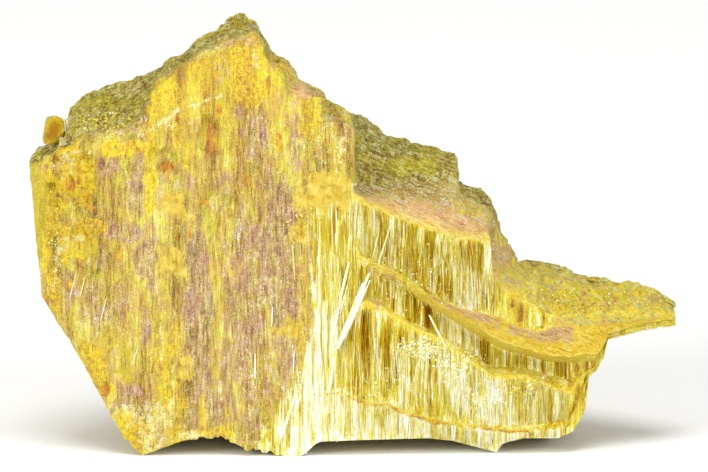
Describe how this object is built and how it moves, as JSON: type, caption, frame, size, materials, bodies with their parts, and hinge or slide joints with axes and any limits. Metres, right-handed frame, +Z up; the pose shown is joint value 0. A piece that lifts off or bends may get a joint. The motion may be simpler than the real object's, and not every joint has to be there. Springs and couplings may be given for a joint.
{
  "type": "orpiment specimen",
  "caption": "Broken hand-sized piece of golden yellow foliated orpiment with a fibrous cleavage face, stepped ledges and a side wedge, standing on its underside.",
  "frame": {"origin": "centre of the stone's bounding box in plan, on the surface that it stands on", "axes": "+X along the stone's longest side, from its blunt end to the wedge; -Y out of the striated front face, which leans back; +Z up"},
  "size_m": [0.0779, 0.0284, 0.0512],
  "materials": {
    "orpiment": "golden yellow foliated orpiment: silky fibrous cleavage with pearly lilac bands, resinous on fresh breaks and dull on the broken rind"
  },
  "bodies": {
    "root": {"orpiment": "orpiment"}
  },
  "joints": []
}
